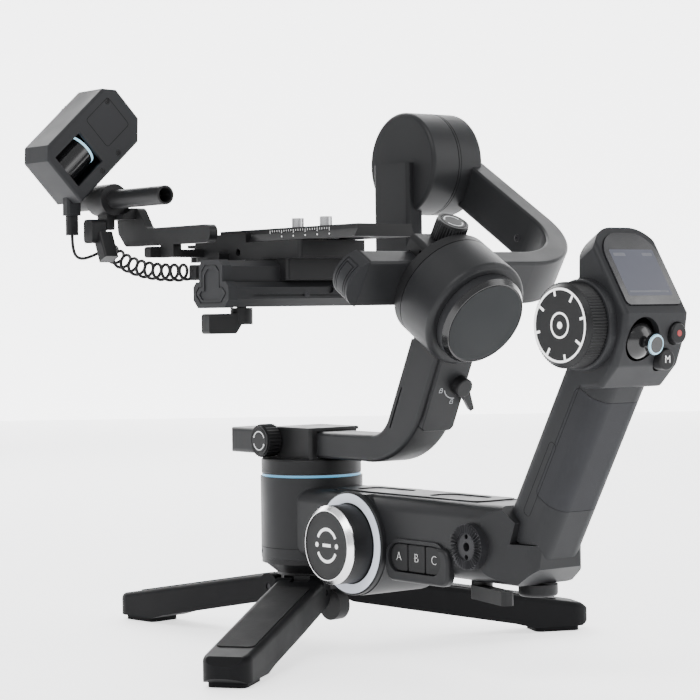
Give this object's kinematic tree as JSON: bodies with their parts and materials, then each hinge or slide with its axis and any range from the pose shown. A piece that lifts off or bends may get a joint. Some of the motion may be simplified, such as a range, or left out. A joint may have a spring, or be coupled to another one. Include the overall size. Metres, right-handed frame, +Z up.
{
  "type": "camera gimbal stabilizer",
  "caption": "Three-axis camera stabilizer: a low handle with a leaning control grip, stacked pan, roll and tilt motors, a sliding camera plate, a focus motor and folding mini legs.",
  "frame": {"origin": "on the floor under the feet, on the pan axis", "axes": "+Y the way the lens points, +X to the operator's right, +Z up"},
  "size_m": [0.2589, 0.4021, 0.29],
  "materials": {
    "dark_cast": "fine satin paint over cast alloy, almost black",
    "dark_plastic": "matt fine-grained moulding",
    "gloss_black": "polished black moulding",
    "grip_rubber": "soft-touch textured rubber",
    "foot_rubber": "ribbed rubber",
    "light_grey": "pale translucent-looking ring",
    "ice_light": "lit pale blue ring",
    "anodised": "black anodised, fine bead-blasted",
    "bare_alloy": "bright machined edge",
    "steel": "turned steel",
    "copper_core": "wound laminated core",
    "board": "circuit board with solder mask",
    "cell": "wrapped lithium cell",
    "screen": "dark cover glass",
    "red_cap": "black cap with a red dot",
    "gear_black": "glass-filled nylon",
    "cord_black": "soft black cord jacket",
    "plug_black": "moulded plug"
  },
  "bodies": {
    "handle": {"body_shell": "dark_cast", "top_trim": "gloss_black", "bottom_cover": "dark_plastic", "pan_bottom_cap": "anodised", "light_rings": "light_grey", "pan_motor_core": "copper_core", "control_boards": "board", "battery_cells": "cell", "rosette": "steel", "grip_rubber": "grip_rubber", "grip_shell": "dark_plastic", "head_shell": "dark_plastic", "screen_glass": "screen", "tripod_hub": "anodised", "leg_pins": "steel"},
    "button_a": {"button_a": "dark_plastic"},
    "button_b": {"button_b": "dark_plastic"},
    "button_c": {"button_c": "dark_plastic"},
    "record_button": {"record_button": "red_cap"},
    "mode_button": {"mode_button": "dark_plastic"},
    "joystick": {"joystick": "dark_plastic"},
    "trigger": {"trigger": "gloss_black"},
    "follow_wheel": {"follow_wheel": "anodised"},
    "focus_wheel": {"focus_wheel": "anodised"},
    "handle_lock": {"handle_lock_lever": "anodised"},
    "handle_screw": {"handle_screw_knob": "anodised"},
    "leg_left": {"leg_left": "dark_cast", "leg_left_rubber": "foot_rubber"},
    "leg_front": {"leg_front": "dark_cast", "leg_front_rubber": "foot_rubber"},
    "leg_right": {"leg_right": "dark_cast", "leg_right_rubber": "foot_rubber"},
    "pan": {"pan_rotor": "anodised"},
    "pan_knob": {"pan_clamp_knob": "anodised"},
    "pan_slide": {"pan_arm": "dark_cast", "roll_motor_cap": "gloss_black", "roll_motor_core": "copper_core"},
    "roll_lock": {"roll_lock_lever": "anodised"},
    "roll": {"roll_rotor": "anodised"},
    "roll_knob": {"roll_clamp_knob": "anodised"},
    "roll_slide": {"roll_arm": "dark_cast", "roll_arm_cap": "dark_plastic", "tilt_motor_core": "copper_core"},
    "tilt": {"tilt_rail": "dark_cast", "rail_end_cap": "dark_plastic"},
    "rail_lever": {"rail_lock_lever": "anodised"},
    "base": {"camera_base": "anodised", "rod_bracket": "anodised", "motor_rod": "anodised", "rod_clamp": "anodised", "focus_motor_case": "dark_plastic", "cord_plugs": "plug_black", "motor_lead": "cord_black", "curly_cord": "cord_black"},
    "plate_lever": {"plate_lock_lever": "anodised"},
    "plate": {"camera_plate": "anodised", "camera_screws": "steel"},
    "rod_lever": {"rod_clamp_lever": "anodised"},
    "focus_drum": {"focus_drum": "gloss_black"},
    "drive_gear": {"drive_gear": "gear_black"}
  },
  "joints": [
    {"name": "button_a_press", "type": "slide", "parent": "handle", "child": "button_a", "axis": [1, 0, 0], "range_m": [0, 0.0008], "stiffness_N_per_m": 500},
    {"name": "button_b_press", "type": "slide", "parent": "handle", "child": "button_b", "axis": [1, 0, 0], "range_m": [0, 0.0008], "stiffness_N_per_m": 500},
    {"name": "button_c_press", "type": "slide", "parent": "handle", "child": "button_c", "axis": [1, 0, 0], "range_m": [0, 0.0008], "stiffness_N_per_m": 500},
    {"name": "record_press", "type": "slide", "parent": "handle", "child": "record_button", "axis": [0, 1, 0], "range_m": [0, 0.0008], "stiffness_N_per_m": 500},
    {"name": "mode_press", "type": "slide", "parent": "handle", "child": "mode_button", "axis": [0, 1, 0], "range_m": [0, 0.0008], "stiffness_N_per_m": 500},
    {"name": "trigger_pull", "type": "slide", "parent": "handle", "child": "trigger", "axis": [0, -1, 0], "range_m": [0, 0.0025], "stiffness_N_per_m": 400},
    {"name": "joystick_tilt", "type": "hinge", "parent": "handle", "child": "joystick", "pos_m": [-0.007, -0.2396, 0.156], "axis": [1, 0, 0], "range_deg": [-15, 15], "stiffness_Nm_per_rad": 0.05},
    {"name": "follow_wheel_spin", "type": "hinge", "parent": "handle", "child": "follow_wheel", "pos_m": [-0.03, -0.0625, 0.057], "axis": [1, 0, 0], "continuous": true},
    {"name": "focus_wheel_spin", "type": "hinge", "parent": "handle", "child": "focus_wheel", "pos_m": [-0.029, -0.224, 0.1623], "axis": [1, 0, 0], "continuous": true},
    {"name": "handle_lock_turn", "type": "hinge", "parent": "handle", "child": "handle_lock", "pos_m": [-0.009, -0.143, 0.041], "axis": [0, 0, 1], "range_deg": [-70, 10]},
    {"name": "handle_screw_turn", "type": "hinge", "parent": "handle", "child": "handle_screw", "pos_m": [0.002, -0.169, 0.042], "axis": [0, 0, 1], "continuous": true},
    {"name": "leg_left_fold", "type": "hinge", "parent": "handle", "child": "leg_left", "pos_m": [-0.00251, 0.01984, 0.028], "axis": [-0.9921, -0.1253, 0], "range_deg": [0, 80]},
    {"name": "leg_front_fold", "type": "hinge", "parent": "handle", "child": "leg_front", "pos_m": [-0.01593, -0.01209, 0.028], "axis": [0.6046, -0.7965, 0], "range_deg": [0, 80]},
    {"name": "leg_right_fold", "type": "hinge", "parent": "handle", "child": "leg_right", "pos_m": [0.01844, -0.00775, 0.028], "axis": [0.3875, 0.9219, 0], "range_deg": [0, 80]},
    {"name": "pan_turn", "type": "hinge", "parent": "handle", "child": "pan", "pos_m": [0, 0, 0.0915], "axis": [0, 0, 1], "continuous": true},
    {"name": "pan_knob_turn", "type": "hinge", "parent": "pan", "child": "pan_knob", "pos_m": [-0.02, 0.0117, 0.1039], "axis": [1, 0, 0], "continuous": true},
    {"name": "pan_arm_slide", "type": "slide", "parent": "pan", "child": "pan_slide", "axis": [0, 1, 0], "range_m": [-0.02, 0.015]},
    {"name": "roll_lock_turn", "type": "hinge", "parent": "pan_slide", "child": "roll_lock", "pos_m": [0.0056, -0.1119, 0.13368], "axis": [0, -0.9026, -0.4305], "range_deg": [-50, 50]},
    {"name": "roll_turn", "type": "hinge", "parent": "pan_slide", "child": "roll", "pos_m": [0, 0, 0.247], "axis": [0, 0.8526, 0.5225], "range_deg": [-60, 45]},
    {"name": "roll_knob_turn", "type": "hinge", "parent": "roll", "child": "roll_knob", "pos_m": [0, -0.1123, 0.20633], "axis": [0, -0.5225, 0.8526], "continuous": true},
    {"name": "roll_arm_slide", "type": "slide", "parent": "roll", "child": "roll_slide", "axis": [1, 0, 0], "range_m": [-0.03, 0.028]},
    {"name": "tilt_turn", "type": "hinge", "parent": "roll_slide", "child": "tilt", "pos_m": [0.08, 0, 0.247], "axis": [1, 0, 0], "range_deg": [-45, 90]},
    {"name": "rail_lock_turn", "type": "hinge", "parent": "tilt", "child": "rail_lever", "pos_m": [-0.039, 0.0045, 0.166], "axis": [0, 0, 1], "range_deg": [-75, 75]},
    {"name": "base_slide", "type": "slide", "parent": "tilt", "child": "base", "axis": [1, 0, 0], "range_m": [-0.012, 0.02]},
    {"name": "plate_lock_turn", "type": "hinge", "parent": "base", "child": "plate_lever", "pos_m": [-0.018, 0.0746, 0.2], "axis": [0, 0, 1], "range_deg": [-20, 0]},
    {"name": "plate_slide", "type": "slide", "parent": "base", "child": "plate", "axis": [0, 1, 0], "range_m": [-0.025, 0.015]},
    {"name": "rod_lock_turn", "type": "hinge", "parent": "base", "child": "rod_lever", "pos_m": [-0.054, 0.108, 0.2182], "axis": [1, 0, 0], "range_deg": [-45, 15]},
    {"name": "focus_drum_spin", "type": "hinge", "parent": "base", "child": "focus_drum", "pos_m": [-0.0736, 0.1142, 0.25161], "axis": [0.7314, 0, 0.682], "continuous": true},
    {"name": "drive_gear_spin", "type": "hinge", "parent": "base", "child": "drive_gear", "pos_m": [-0.05339, 0.135, 0.27319], "axis": [0, 1, 0], "continuous": true}
  ],
  "couplings": [
    {"joint": "focus_drum_spin", "follows": "drive_gear_spin", "ratio": 1}
  ]
}
